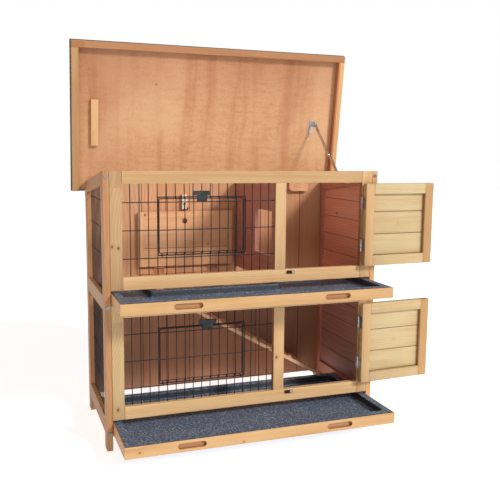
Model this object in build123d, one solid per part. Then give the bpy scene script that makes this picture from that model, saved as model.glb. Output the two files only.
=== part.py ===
from build123d import *
import os
from math import atan, cos, degrees, hypot, radians, sin

# Two-storey rabbit hutch: a slatted timber cabinet with wire fronts, a lift-up roof,
# two plank doors, two pull-out trays, a ramp and a hatch over the ramp's opening.
# It is modelled with the roof and the doors open and both trays pulled out.
#
# Millimetres, X to the right, Y to the back, Z up.  While it is built, (0, 0, 0) is the
# cabinet's front left floor corner.  The last section moves everything sideways so that
# the origin lies on the floor under the middle of the whole model.

# --- driving dimensions ------------------------------------------------------------
CABINET_WIDTH = 840.0
CABINET_DEPTH = 386.0
FRONT_HEIGHT = 790.0
BACK_HEIGHT = 746.0
STOREY = 371.6                 # the lower front frame is the upper one, this much lower

POST_THICKNESS = 17.0          # along X
POST_WIDTH = 40.0              # along Y
SIDE_RAIL = 35.0

FRAME_THICKNESS = 17.0         # front frames, along Y
STILE_WIDTH = 34.5
UPPER_FRAME_LOW = 460.0
BOTTOM_RAIL = 37.2
TOP_RAIL = 35.6
CENTRE_STILE = (502.5, 536.0)

WIRE = 2.4                     # square section that stands for the round wire
MESH_Y = 11.0                  # front face of the run mesh
WIRE_PITCH = 25.6
FIRST_WIRE = 75.4
WIRE_DOOR = (150.0, 411.0)     # X range
WIRE_DOOR_Y = 4.4              # middle of its wire, in front of the mesh
WIRE_DOOR_LOW = 94.2           # hinge wire, above the frame's lower edge
WIRE_DOOR_HIGH = 258.4
LATCH_SHIFT = {"upper": 0.0, "lower": 18.0}

DOOR_GAP = 2.0
HINGE_GAP = 2.6
DOOR_THICKNESS = 18.0
DOOR_OPEN = 183.0              # degrees from closed
DOOR_PIN_Y = -4.5

TRAY_GAP = 1.5                 # to the posts on each side
UPPER_TRAY_DEPTH = 362.0
LOWER_TRAY_DEPTH = 407.0
TRAY_BOARD = 12.0
UPPER_TRAY_Z = (421.5, 454.5)
LOWER_TRAY_Z = (48.0, 82.5)
UPPER_TRAY_OUT = 144.0
LOWER_TRAY_OUT = 177.0
NOTCH = (152.0, 495.0, 168.0)  # ramp opening in the upper tray: X range and front edge

ROOF_OVERHANG = 40.0
ROOF_FRONT = 437.0             # hinge line to front edge, along the roof
ROOF_REAR = 25.0
PANEL_THICKNESS = 9.0
BORDER_WIDTH = 22.0
LIP_DEPTH = 20.0
FELT_THICKNESS = 2.0
ROOF_TRAVEL = 75.5             # degrees from open to closed
ROOF_AXIS = (389.8, 743.2)     # Y, Z of the hinge pin
UNDERSIDE = 3.4                # underside of the roof panel above the hinge pin

RAMP_Y = (185.0, 355.0)
RAMP_X = (157.0, 748.0)
RAMP_SLOPE = -0.573
RAMP_LOW_AT_323 = 333.4        # underside height at X = 323
RAMP_THICKNESS = 10.0

HATCH_X = (164.0, 485.0)
HATCH_Z = (467.0, 648.0)
HATCH_Y = (348.0, 358.0)
HATCH_AXIS = (357.0, 461.0)    # Y, Z of the hinge pin

SLOPE = (FRONT_HEIGHT - BACK_HEIGHT) / CABINET_DEPTH
TILT = atan(SLOPE)
RIGHT_POST = CABINET_WIDTH - POST_THICKNESS
BACK_POST = CABINET_DEPTH - POST_WIDTH
LEFT_STILE = (POST_THICKNESS, POST_THICKNESS + STILE_WIDTH - 0.5)
RIGHT_STILE = (RIGHT_POST - STILE_WIDTH - 1.0, RIGHT_POST)
LOWER_FRAME_LOW = UPPER_FRAME_LOW - STOREY
FRAME_HEIGHT = FRONT_HEIGHT - UPPER_FRAME_LOW
STOREYS = {"upper": UPPER_FRAME_LOW, "lower": LOWER_FRAME_LOW}


# --- helpers -----------------------------------------------------------------------
def block(x, y, z):
    """A box given by its three ranges."""
    centre = [(low + high) / 2 for low, high in (x, y, z)]
    return Pos(*centre) * Box(x[1] - x[0], y[1] - y[0], z[1] - z[0])


def prism_x(points, x):
    """A solid of constant outline in Y and Z, over a range of X."""
    face = make_face(Polyline(*[(x[0], py, pz) for py, pz in points], close=True))
    return extrude(face, amount=x[1] - x[0], dir=(1, 0, 0))


def prism_y(points, y):
    """A solid of constant outline in X and Z, over a range of Y."""
    face = make_face(Polyline(*[(px, y[0], pz) for px, pz in points], close=True))
    return extrude(face, amount=y[1] - y[0], dir=(0, 1, 0))


def top_line(y):
    """Height of the sloping top edge of the cabinet."""
    return FRONT_HEIGHT - y * SLOPE


def rod(start, end, radius):
    """A round bar between two points."""
    path = Vector(*end) - Vector(*start)
    return extrude(Plane(start, z_dir=path) * Circle(radius), amount=path.length)


def eased(solid, size=1.0):
    """A plank with its long edges taken off."""
    extent = solid.bounding_box().size
    long_axis = max((Axis.X, Axis.Y, Axis.Z), key=lambda axis: extent.dot(axis.direction))
    return chamfer(solid.edges().filter_by(long_axis), size)


def grille(outline, uprights, levels):
    """A flat wire grille in local X and Y: an outer wire, uprights and levels."""
    sheet = make_face(Polyline(*outline, close=True))
    left = min(p[0] for p in outline)
    right = max(p[0] for p in outline)
    low = min(p[1] for p in outline)
    high = max(p[1] for p in outline)
    bars = [Pos(x, (low + high) / 2) * Rectangle(WIRE, high - low) for x in uprights]
    bars += [Pos((left + right) / 2, z) * Rectangle(right - left, WIRE) for z in levels]
    rim = sheet - offset(sheet, -WIRE, kind=Kind.INTERSECTION)
    return extrude(rim + ((Sketch() + bars) & sheet), WIRE)


def front_plane(y):
    """Local X and Y are the cabinet's X and Z; a sheet thickens towards the front."""
    return Plane((0, y, 0), x_dir=(1, 0, 0), z_dir=(0, -1, 0))


def hinge_leaf(length, reach, plate, radius, bore, knuckles):
    """One leaf of a butt hinge; the pin is the local Z axis and the leaf runs along X."""
    leaf = block((radius + 0.5, reach), plate, (0, length))
    for low, high in knuckles:
        leaf += Pos(0, 0, (low + high) / 2) * Cylinder(radius, high - low)
        leaf += block((0, radius + 0.6), plate, (low, high))
    return leaf - Pos(0, 0, length / 2) * Cylinder(bore, length + 2)


def knuckle_split(length, clearance=0.4):
    """Outer knuckles for the fixed leaf and the middle one for the moving leaf."""
    third = length / 3
    fixed = [(0, third - clearance / 2), (2 * third + clearance / 2, length)]
    moving = [(third + clearance / 2, 2 * third - clearance / 2)]
    return fixed, moving


parts = {}                     # node name: list of solids


def add(node, *solids):
    parts.setdefault(node, []).extend(solids)


# --- posts and side frames -----------------------------------------------------------
LEFT = (0.0, POST_THICKNESS)
RIGHT = (RIGHT_POST, CABINET_WIDTH)
MIDDLE_RAIL_Z = (401.0, 443.0)
LOW_RAIL_Z = (45.0, 91.0)
BETWEEN_POSTS = (POST_WIDTH, BACK_POST)

for side, x in (("left", LEFT), ("right", RIGHT)):
    for name, y in (("front", (0, POST_WIDTH)), ("back", (BACK_POST, CABINET_DEPTH))):
        outline = [(y[0], 0), (y[1], 0), (y[1], top_line(y[1])), (y[0], top_line(y[0]))]
        add(f"{name}_{side}_post", prism_x(outline, x))
    near, far = BETWEEN_POSTS
    top_rail = [(near, top_line(near) - SIDE_RAIL), (far, top_line(far) - SIDE_RAIL),
                (far, top_line(far)), (near, top_line(near))]
    add(f"{side}_side_rails", prism_x(top_rail, x),
        block(x, BETWEEN_POSTS, MIDDLE_RAIL_Z), block(x, BETWEEN_POSTS, LOW_RAIL_Z))


def side_bay(low, sloped):
    """Outline, in Y and Z, of a bay between the posts above the height `low`."""
    near, far = BETWEEN_POSTS
    tops = (top_line(far) - SIDE_RAIL, top_line(near) - SIDE_RAIL) if sloped else (
        MIDDLE_RAIL_Z[0], MIDDLE_RAIL_Z[0])
    return [(near, low), (far, low), (far, tops[0]), (near, tops[1])]


side_plane = Plane((11.0, 0, 0), x_dir=(0, 1, 0), z_dir=(1, 0, 0))
side_uprights = [POST_WIDTH + WIRE_PITCH * i for i in range(1, 12)]
for low, sloped, levels in ((LOW_RAIL_Z[1], False, (168.0, 246.0, 324.0)),
                            (MIDDLE_RAIL_Z[1], True, (546.0, 625.0, 703.0))):
    add("left_side_mesh", side_plane * grille(side_bay(low, sloped), side_uprights, levels))

PLANK_THICKNESS = 8.0
PLANK_X = (RIGHT_POST + 8.0, RIGHT_POST + 8.0 + PLANK_THICKNESS)
PLANKS_PER_BAY = 5
for low, sloped in ((LOW_RAIL_Z[1], False), (MIDDLE_RAIL_Z[1], True)):
    bay = side_bay(low, sloped)
    step = (bay[3][1] - low) / PLANKS_PER_BAY
    for i in range(PLANKS_PER_BAY):
        plank = eased(block(PLANK_X, BETWEEN_POSTS, (low + i * step, low + (i + 1) * step)))
        if i == PLANKS_PER_BAY - 1:
            plank = plank & prism_x(bay, (0, CABINET_WIDTH))
        add("right_side_boards", plank)

# --- back wall -------------------------------------------------------------------------
BACK_BOARD_Y = (366.0, 375.0)
BACK_BOARD_COUNT = 10
BACK_WALL_LOW = 50.0
inside_width = (POST_THICKNESS, RIGHT_POST)
board_step = (inside_width[1] - inside_width[0]) / BACK_BOARD_COUNT
for i in range(BACK_BOARD_COUNT):
    x0 = inside_width[0] + i * board_step
    board = eased(block((x0, x0 + board_step), BACK_BOARD_Y, (BACK_WALL_LOW, 760)), 1.5)
    add("back_boards", board & prism_x(
        [(0, 0), (400, 0), (400, top_line(400)), (0, top_line(0))], (0, CABINET_WIDTH)))

rail_y = (BACK_BOARD_Y[1], CABINET_DEPTH)
top_of_back = [(rail_y[0], BACK_HEIGHT - SIDE_RAIL), (rail_y[1], BACK_HEIGHT - SIDE_RAIL),
               (rail_y[1], top_line(rail_y[1])), (rail_y[0], top_line(rail_y[0]))]
add("back_rails", prism_x(top_of_back, inside_width),
    block(inside_width, rail_y, MIDDLE_RAIL_Z),
    block(inside_width, rail_y, (BACK_WALL_LOW, BACK_WALL_LOW + SIDE_RAIL)))

# --- front frames, run mesh --------------------------------------------------------------
FRAME_Y = (0.0, FRAME_THICKNESS)
below_roof = prism_x([(-10, 0), (60, 0), (60, top_line(60)), (-10, top_line(-10))],
                     (0, CABINET_WIDTH))
for storey, low in STOREYS.items():
    high = low + FRAME_HEIGHT
    opening = (low + BOTTOM_RAIL, high - TOP_RAIL)
    between = (LEFT_STILE[1], RIGHT_STILE[0])
    stiles = [block(LEFT_STILE, FRAME_Y, (low, high)), block(CENTRE_STILE, FRAME_Y, opening),
              block(RIGHT_STILE, FRAME_Y, (low, high))]
    rails = [block(between, FRAME_Y, (low, opening[0])),
             block(between, FRAME_Y, (opening[1], high))]
    if storey == "upper":
        stiles = [stile & below_roof for stile in stiles]
        rails = [rail & below_roof for rail in rails]
    add(f"{storey}_front_stiles", *stiles)
    add(f"{storey}_front_rails", *rails)

    # The mesh leaves a hole for the wire door, so it is four flat pieces round that hole.
    run = (LEFT_STILE[1], CENTRE_STILE[0])
    hole_x = (WIRE_DOOR[0] + 5, WIRE_DOOR[1] - 5)
    hole_z = (low + WIRE_DOOR_LOW + 4, low + WIRE_DOOR_HIGH - 5)
    levels = [low + 86.0, low + 165.0, low + 243.0]
    uprights = [FIRST_WIRE + WIRE_PITCH * i for i in range(17)]
    regions = [((run[0], hole_x[0]), opening), ((hole_x[1], run[1]), opening),
               (hole_x, (opening[0], hole_z[0])), (hole_x, (hole_z[1], opening[1]))]
    plane = front_plane(MESH_Y + WIRE)
    for (x0, x1), (z0, z1) in regions:
        inner_x = [x for x in uprights if x0 + WIRE < x < x1 - WIRE]
        inner_z = [z for z in levels if z0 + WIRE < z < z1 - WIRE]
        corners = [(x0, z0), (x1, z0), (x1, z1), (x0, z1)]
        add(f"{storey}_run_mesh", plane * grille(corners, inner_x, inner_z))

    # Two clips on the mesh hold the wire door's bottom wire, its hinge.
    hinge_z = low + WIRE_DOOR_LOW
    for x0 in (WIRE_DOOR[0] + 10, WIRE_DOOR[1] - 15):
        clip = rod((x0, WIRE_DOOR_Y, hinge_z), (x0 + 5, WIRE_DOOR_Y, hinge_z), 2.4)
        clip += block((x0, x0 + 5), (WIRE_DOOR_Y, MESH_Y), (hinge_z - 1.2, hinge_z + 1.2))
        clip += block((x0, x0 + 5), (MESH_Y - 1.2, MESH_Y), (hinge_z - 1.2, hinge_z + 6))
        bore = rod((x0 - 1, WIRE_DOOR_Y, hinge_z), (x0 + 6, WIRE_DOOR_Y, hinge_z), 1.28)
        add("wire_door_clips", clip - bore)

    # The wire door itself, closed; the sheet's bottom edge is the round hinge wire.
    door_z = (hinge_z, low + WIRE_DOOR_HIGH)
    door_wires = [x for x in uprights if WIRE_DOOR[0] + WIRE < x < WIRE_DOOR[1] - WIRE]
    sheet = grille([(WIRE_DOOR[0], door_z[0] - 0.6), (WIRE_DOOR[1], door_z[0] - 0.6),
                    (WIRE_DOOR[1], door_z[1]), (WIRE_DOOR[0], door_z[1])],
                   door_wires, levels[1:])
    sheet = front_plane(WIRE_DOOR_Y + WIRE / 2) * sheet
    for x0 in (WIRE_DOOR[0] + 10, WIRE_DOOR[1] - 15):
        sheet -= block((x0 - 0.6, x0 + 5.6), (0, 10), (hinge_z - 3, hinge_z + 3.2))
    sheet += rod((WIRE_DOOR[0], WIRE_DOOR_Y, hinge_z), (WIRE_DOOR[1], WIRE_DOOR_Y, hinge_z), 1.2)
    add(f"{storey}_wire_door", sheet)

    # Slide latch that rides on the wire door: a narrow body and a wider grip above it.
    latch_x = [x + LATCH_SHIFT[storey] for x in (263.0, 293.0)]
    grip_x = [x + LATCH_SHIFT[storey] for x in (250.0, 303.0)]
    latch_y = (-1.6, WIRE_DOOR_Y - WIRE / 2 - 0.4)
    latch = block(latch_x, latch_y, (low + 245.0, low + 263.0))
    latch += block(grip_x, (latch_y[0] - 1.4, latch_y[1]), (low + 261.0, low + 274.0))
    add(f"{storey}_wire_latch", latch)

# --- trays --------------------------------------------------------------------------------
TRAY_X = (POST_THICKNESS + TRAY_GAP, RIGHT_POST - TRAY_GAP)
FRONT_BOARD = 15.0
RIM_THICKNESS = 2.0
RIM_INSET = 3.0
BASIN_INSET = 25.0
BASIN_DEPTH = 22.0
SLOT_LENGTH = 80.0
SLOT_HEIGHT = 16.0
SLOT_DEPTH = 10.0
SLOT_CENTRES = (200.0, 641.0)


def tray(storey, z, out, depth, notch=None):
    """Boards and liner of one tray, pulled out by `out`."""
    x = TRAY_X
    board_top = z[1] - RIM_THICKNESS
    moved = Pos(0, -out, 0)
    front = block(x, (0, FRONT_BOARD), (z[0], board_top))
    for centre in SLOT_CENTRES:
        slot = front_plane(SLOT_DEPTH) * (
            Pos(centre, (z[0] + board_top) / 2) * SlotOverall(SLOT_LENGTH, SLOT_HEIGHT))
        front -= extrude(slot, SLOT_DEPTH + 1)
    add(f"{storey}_tray_front", moved * front)

    rear = (depth - TRAY_BOARD, depth)
    along = (FRONT_BOARD, rear[0])
    heights = (z[0], board_top)
    boards = [block((x[0], x[0] + TRAY_BOARD), along, heights),
              block((x[1] - TRAY_BOARD, x[1]), along, heights)]
    corners = [(x[0], 0), (x[1], 0), (x[1], depth), (x[0], depth)]
    if notch:
        left, right, front_edge = notch
        boards += [block((x[0], left - TRAY_BOARD), rear, heights),
                   block((right + TRAY_BOARD, x[1]), rear, heights),
                   block((left - TRAY_BOARD, left), (front_edge, depth), heights),
                   block((right, right + TRAY_BOARD), (front_edge, depth), heights),
                   block((left - TRAY_BOARD, right + TRAY_BOARD),
                         (front_edge - TRAY_BOARD, front_edge), heights)]
        corners[3:3] = [(right, depth), (right, front_edge), (left, front_edge),
                        (left, depth)]
    else:
        boards.append(block(x, rear, heights))
    add(f"{storey}_tray_boards", *[moved * board for board in boards])

    outline = make_face(Polyline(*corners, close=True))
    rim = offset(outline, -RIM_INSET, kind=Kind.INTERSECTION)
    basin = offset(outline, -BASIN_INSET)
    hollow = offset(outline, -BASIN_INSET - RIM_THICKNESS)
    liner = Pos(0, 0, board_top) * extrude(rim, RIM_THICKNESS)
    liner += Pos(0, 0, z[1] - BASIN_DEPTH) * extrude(basin, BASIN_DEPTH)
    liner -= Pos(0, 0, z[1] - BASIN_DEPTH + RIM_THICKNESS) * extrude(hollow, BASIN_DEPTH)
    add(f"{storey}_tray_liner", moved * liner)


tray("upper", UPPER_TRAY_Z, UPPER_TRAY_OUT, UPPER_TRAY_DEPTH, NOTCH)
tray("lower", LOWER_TRAY_Z, LOWER_TRAY_OUT, LOWER_TRAY_DEPTH)

RUNNER = (15.0, 12.0)          # width and height of the battens that the trays slide on
for z_top in (UPPER_TRAY_Z[0] - 0.5, LOWER_TRAY_Z[0] - 0.5):
    for x in ((POST_THICKNESS, POST_THICKNESS + RUNNER[0]), (RIGHT_POST - RUNNER[0], RIGHT_POST)):
        add("tray_runners", block(x, (FRAME_THICKNESS + 1, BACK_BOARD_Y[0]),
                                  (z_top - RUNNER[1], z_top)))

# --- upper storey: partition and blocks ------------------------------------------------------
PARTITION_X = (502.5, 514.5)
DOORWAY_Y = (31.0, 173.0)
DOORWAY_Z = (532.0, 669.0)
PARTITION_LOW = 457.0
back_face = BACK_BOARD_Y[0]
over = [(FRAME_THICKNESS, DOORWAY_Z[1]), (back_face, DOORWAY_Z[1]),
        (back_face, top_line(back_face)), (FRAME_THICKNESS, top_line(FRAME_THICKNESS))]
add("partition_boards",
    block(PARTITION_X, (FRAME_THICKNESS, back_face), (PARTITION_LOW, DOORWAY_Z[0])),
    block(PARTITION_X, (FRAME_THICKNESS, DOORWAY_Y[0]), DOORWAY_Z),
    block(PARTITION_X, (DOORWAY_Y[1], back_face), DOORWAY_Z),
    prism_x(over, PARTITION_X))

HOOK_BLOCK_X = (310.0, 328.0)
HOOK_BLOCK_Z = (655.0, 703.0)
HOOK_BLOCK_Y = (352.0, back_face)
nest_block = block((695, 765), (350, back_face), (711, 745))
corner = nest_block.edges().filter_by(Axis.Y).sort_by(lambda e: e.center().X + e.center().Z)[0]
add("back_wall_blocks", eased(block(HOOK_BLOCK_X, HOOK_BLOCK_Y, HOOK_BLOCK_Z)),
    fillet(corner, 15))

# --- ramp ---------------------------------------------------------------------------------------
RAMP_RISE = RAMP_THICKNESS / cos(atan(RAMP_SLOPE))


def ramp_low(x):
    return RAMP_LOW_AT_323 + RAMP_SLOPE * (x - 323.0)


x0, x1 = RAMP_X
add("ramp_board", prism_y([(x0, ramp_low(x0)), (x1, ramp_low(x1)),
                           (x1, ramp_low(x1) + RAMP_RISE), (x0, ramp_low(x0) + RAMP_RISE)],
                          RAMP_Y))
CLEAT_COUNT = 9
CLEAT = (10.0, 5.0)            # along the ramp and above it
cleat_margin = 12.0
for i in range(CLEAT_COUNT):
    xc = x0 + 45 + i * (x1 - x0 - 90) / (CLEAT_COUNT - 1)
    strip = Plane((xc, 0, ramp_low(xc) + RAMP_RISE), x_dir=(1, 0, RAMP_SLOPE),
                  z_dir=(-RAMP_SLOPE, 0, 1))
    length = RAMP_Y[1] - RAMP_Y[0] - 2 * cleat_margin
    cleat = Pos(0, sum(RAMP_Y) / 2, CLEAT[1] / 2) * Box(CLEAT[0], length, CLEAT[1])
    add("ramp_cleats", strip * cleat)

# The ramp's top lies on a cross rail, and its far edge is screwed to a wall cleat.
rail_x = (x0, x0 + 20)
rail_low = UPPER_TRAY_Z[0] - 38
rail_high = UPPER_TRAY_Z[0] - 1
meets_ramp = 323.0 + (rail_high - RAMP_LOW_AT_323) / RAMP_SLOPE
add("ramp_supports",
    prism_y([(rail_x[0], rail_low), (rail_x[1], rail_low), (rail_x[1], ramp_low(rail_x[1])),
             (meets_ramp, rail_high), (rail_x[0], rail_high)], (FRAME_THICKNESS, back_face)),
    prism_y([(590, ramp_low(590) - 9), (740, ramp_low(740) - 9),
             (740, ramp_low(740) + 9), (590, ramp_low(590) + 9)], (RAMP_Y[1], back_face)))

# --- hatch over the ramp's opening -----------------------------------------------------------------
HATCH_HOLE = (319.0, 616.0, 9.0)
HATCH_END = 18.0
plank_count = 3
plank_height = (HATCH_Z[1] - HATCH_Z[0]) / plank_count
plank_x = (HATCH_X[0] + HATCH_END, HATCH_X[1] - HATCH_END)
hole_x, hole_z, hole_r = HATCH_HOLE
finger_hole = rod((hole_x, HATCH_Y[0] - 1, hole_z), (hole_x, HATCH_Y[1] + 1, hole_z), hole_r)
for i in range(plank_count):
    z0 = HATCH_Z[0] + i * plank_height
    plank = eased(block(plank_x, HATCH_Y, (z0, z0 + plank_height)), 0.8)
    add("hatch_boards", plank - finger_hole if i == plank_count - 1 else plank)
add("hatch_end_battens",
    block((HATCH_X[0], plank_x[0]), HATCH_Y, HATCH_Z),
    block((plank_x[1], HATCH_X[1]), HATCH_Y, HATCH_Z))

HATCH_RADIUS = 2.6
add("hatch_hinge_rail", block(HATCH_X, (HATCH_AXIS[0] + 2.8, back_face), (441, 458)))
HATCH_HINGE = 36.0
fixed, moving = knuckle_split(HATCH_HINGE)
for x0 in (214.0, 399.0):
    up = Plane((x0, *HATCH_AXIS), x_dir=(0, 0, 1), z_dir=(1, 0, 0))
    down = Plane((x0, *HATCH_AXIS), x_dir=(0, 0, -1), z_dir=(1, 0, 0))
    add("hatch_hinge_leaves",
        up * hinge_leaf(HATCH_HINGE, 20, (-2.2, -1.0), HATCH_RADIUS, 1.56, moving))
    add("hatch_hinge_fixed",
        down * hinge_leaf(HATCH_HINGE, 17, (1.6, 2.8), HATCH_RADIUS, 1.56, fixed),
        rod((x0, *HATCH_AXIS), (x0 + HATCH_HINGE, *HATCH_AXIS), 1.5))

# A small swivel hook on the block keeps the hatch up.
HOOK_PIVOT = (319.0, 672.0)
hook_y = (HOOK_BLOCK_Y[0] - 3.4, HOOK_BLOCK_Y[0] - 1.0)
px, pz = HOOK_PIVOT
hook = rod((px, hook_y[0], pz), (px, hook_y[1], pz), 4.5)
hook += block((px - 1.8, px + 1.8), hook_y, (pz - 20, pz))
hook += block((px - 1.8, px + 10), hook_y, (pz - 22, pz - 18.4))
hook += block((px + 6.4, px + 10), hook_y, (pz - 22, pz - 13))
hook -= rod((px, hook_y[0] - 1, pz), (px, hook_y[1] + 1, pz), 1.8)
add("hatch_hook", hook)

# --- plank doors ------------------------------------------------------------------------------------
DOOR_STILE = 30.0
DOOR_RAIL = 32.0
DOOR_BOARDS = (65.0, 69.0, 55.0)   # from the bottom
DOOR_BOARD_Y = (0.5, 6.5)
DOOR_PIN_X = RIGHT_STILE[0] - HINGE_GAP / 2
DOOR_HINGE = 38.0
DOOR_HINGES_AT = (82.0, 213.0)     # above the frame's lower edge
DOOR_RADIUS = 2.8
LEAF = 0.8
for storey, low in STOREYS.items():
    opening = (low + BOTTOM_RAIL, low + FRAME_HEIGHT - TOP_RAIL)
    door_x = (CENTRE_STILE[1] + DOOR_GAP, RIGHT_STILE[0] - HINGE_GAP)
    door_z = (opening[0] + DOOR_GAP, opening[1] - DOOR_GAP)
    pin_line = Axis((DOOR_PIN_X, DOOR_PIN_Y, 0), (0, 0, 1))
    inner_x = (door_x[0] + DOOR_STILE, door_x[1] - DOOR_STILE)
    inner_z = (door_z[0] + DOOR_RAIL, door_z[1] - DOOR_RAIL)
    thick = (0, DOOR_THICKNESS)
    frame = [block((door_x[0], inner_x[0]), thick, door_z),
             block((inner_x[1], door_x[1]), thick, door_z),
             block(inner_x, thick, (door_z[0], inner_z[0])),
             block(inner_x, thick, (inner_z[1], door_z[1]))]
    boards = []
    board_low = inner_z[0]
    scale = (inner_z[1] - inner_z[0]) / sum(DOOR_BOARDS)
    for height in DOOR_BOARDS:
        board_high = board_low + height * scale
        boards.append(eased(block(inner_x, DOOR_BOARD_Y, (board_low, board_high)), 0.8))
        board_low = board_high
    fixed, moving = knuckle_split(DOOR_HINGE)
    leaves = []
    for height in DOOR_HINGES_AT:
        pin = (DOOR_PIN_X, DOOR_PIN_Y, low + height)
        local = Plane(pin, x_dir=(0, 1, 0), z_dir=(0, 0, 1))
        plate = (HINGE_GAP / 2 - LEAF, HINGE_GAP / 2)
        leaves.append(local * hinge_leaf(DOOR_HINGE, 18.5, plate, DOOR_RADIUS, 1.56, moving))
        add("door_hinge_fixed",
            local * hinge_leaf(DOOR_HINGE, 13.0, (-plate[1], -plate[0]), DOOR_RADIUS, 1.56, fixed),
            rod(pin, (pin[0], pin[1], pin[2] + DOOR_HINGE), 1.5))
    for node, solids in ((f"{storey}_door_frame", frame), (f"{storey}_door_boards", boards),
                         (f"{storey}_door_hinge_leaves", leaves)):
        add(node, *[solid.rotate(pin_line, DOOR_OPEN) for solid in solids])

    # Turn-button under the door's free corner, on the bottom rail, with its screw.
    bx, bz = 559.0, low + 29.0
    button_y = (-3.4, -1.2)
    button = front_plane(button_y[1]) * extrude(Pos(bx - 6.5, bz) * SlotOverall(26, 9), 2.2)
    button -= rod((bx, -5, bz), (bx, 0, bz), 1.8)
    add(f"{storey}_door_button", button)
    add("frame_fasteners", rod((bx, -3.8, bz), (bx, 0, bz), 1.7) +
        rod((bx, -5.2, bz), (bx, -3.7, bz), 3.2))

# --- bolts that hold the frames to the posts -----------------------------------------------------------
BOLT_RADIUS = 5.5
for x in (POST_THICKNESS / 2 + 0.5, CABINET_WIDTH - POST_THICKNESS / 2 - 0.5):
    for z in (FRONT_HEIGHT - 15, 412.5, 50.0):
        head = rod((x, -2.2, z), (x, 0, z), BOLT_RADIUS)
        socket = front_plane(-1.0) * extrude(Pos(x, z) * RegularPolygon(2.6, 6), 2)
        add("frame_fasteners", head + rod((x, -0.1, z), (x, 25, z), 2.8) - socket)
for x, inward in ((0.0, 1), (CABINET_WIDTH, -1)):
    for y, z in ((11.0, 362.0), (11.0, 130.0), (11.0, 735.0), (375.0, 700.0), (375.0, 120.0)):
        add("frame_fasteners", rod((x - 0.8 * inward, y, z), (x, y, z), 3.5) +
            rod((x - 0.1 * inward, y, z), (x + 14 * inward, y, z), 1.8))

# --- roof, built closed and then opened --------------------------------------------------------------------
hinge_y, hinge_z = ROOF_AXIS
roof_plane = Plane((0, hinge_y, hinge_z), x_dir=(1, 0, 0), z_dir=(0, sin(TILT), cos(TILT)))
ROOF_X = (-ROOF_OVERHANG, CABINET_WIDTH + ROOF_OVERHANG)


def open_roof(solid):
    """From the closed to the open position."""
    return solid.rotate(Axis((0, hinge_y, hinge_z), (1, 0, 0)), -ROOF_TRAVEL)


def roof_block(x, s, n):
    """A box on the roof: s runs from the hinge to the front, n is above the hinge pin."""
    return open_roof(roof_plane * block(x, (-s[1], -s[0]), n))


panel_n = (UNDERSIDE, UNDERSIDE + PANEL_THICKNESS)
lip_n = (UNDERSIDE - LIP_DEPTH, UNDERSIDE)
panel_s = (-ROOF_REAR, ROOF_FRONT)
side_s = (-ROOF_REAR, ROOF_FRONT - BORDER_WIDTH)
add("roof_panel", roof_block(ROOF_X, panel_s, panel_n))
add("roof_front_border", roof_block(ROOF_X, (side_s[1], ROOF_FRONT), lip_n))
add("roof_side_borders",
    roof_block((ROOF_X[0], ROOF_X[0] + BORDER_WIDTH), side_s, lip_n),
    roof_block((ROOF_X[1] - BORDER_WIDTH, ROOF_X[1]), side_s, lip_n))

FELT_FOLD = 14.0               # how far the felt is folded down over the edges
felt_x = (ROOF_X[0] - FELT_THICKNESS, ROOF_X[1] + FELT_THICKNESS)
felt_s = (panel_s[0] - FELT_THICKNESS, panel_s[1] + FELT_THICKNESS)
felt = roof_block(felt_x, felt_s, (panel_n[1] - FELT_FOLD, panel_n[1] + FELT_THICKNESS))
add("roof_felt", felt - roof_block(ROOF_X, panel_s, (panel_n[1] - FELT_FOLD - 5, panel_n[1])))
add("roof_batten", roof_block((20, 42), (118, 262), (UNDERSIDE - 12, UNDERSIDE)))

ROOF_HINGE = 60.0
ROOF_RADIUS = 3.2
fixed, moving = knuckle_split(ROOF_HINGE)
for x0 in (120.0, 390.0, 660.0):
    pin = (x0, *ROOF_AXIS)
    down = Plane(pin, x_dir=(0, 0, -1), z_dir=(1, 0, 0))
    back = Plane(pin, x_dir=(0, cos(TILT), -sin(TILT)), z_dir=(1, 0, 0))
    leaf = back * hinge_leaf(ROOF_HINGE, 22, (UNDERSIDE - 1.4, UNDERSIDE), ROOF_RADIUS, 1.86, moving)
    add("roof_hinge_leaves", open_roof(leaf))
    wall = CABINET_DEPTH - hinge_y
    add("roof_hinge_fixed",
        down * hinge_leaf(ROOF_HINGE, 28, (wall, wall + 1.4), ROOF_RADIUS, 1.86, fixed),
        rod(pin, (x0 + ROOF_HINGE, *ROOF_AXIS), 1.8))

# --- roof stay: two arms that fold over each other when the roof closes ----------------------------------------
STAY_ON_ROOF = (202.3, -11.8)  # s and n of the upper pivot
STAY_ON_RAIL = (155.0, 755.0)  # Y, Z of the lower pivot
OPEN_ANGLE = radians(degrees(TILT) + ROOF_TRAVEL)


def roof_point(s, n, angle):
    """Y and Z of a point of the roof, with the roof at an angle above level."""
    return (hinge_y - s * cos(angle) + n * sin(angle), hinge_z + s * sin(angle) + n * cos(angle))


pivot_b = roof_point(*STAY_ON_ROOF, OPEN_ANGLE)
pivot_b_closed = roof_point(*STAY_ON_ROOF, TILT)
reach_open = hypot(pivot_b[0] - STAY_ON_RAIL[0], pivot_b[1] - STAY_ON_RAIL[1])
reach_closed = hypot(pivot_b_closed[0] - STAY_ON_RAIL[0], pivot_b_closed[1] - STAY_ON_RAIL[1])
UPPER_ARM = (reach_open + reach_closed) / 2
LOWER_ARM = (reach_open - reach_closed) / 2
along_stay = Vector(0, STAY_ON_RAIL[0] - pivot_b[0], STAY_ON_RAIL[1] - pivot_b[1]).normalized()


def stay_arm(x, start, direction, length):
    """A flat bar with round ends, bored at its start, with a rivet head at its far end."""
    plane = Plane((x[0], *start), x_dir=direction, z_dir=(1, 0, 0))
    bar = extrude(Pos(length / 2, 0) * SlotOverall(length + 12, 12), x[1] - x[0])
    bar -= Pos(0, 0, (x[1] - x[0]) / 2) * Cylinder(2.6, 10)
    return plane, bar


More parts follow.
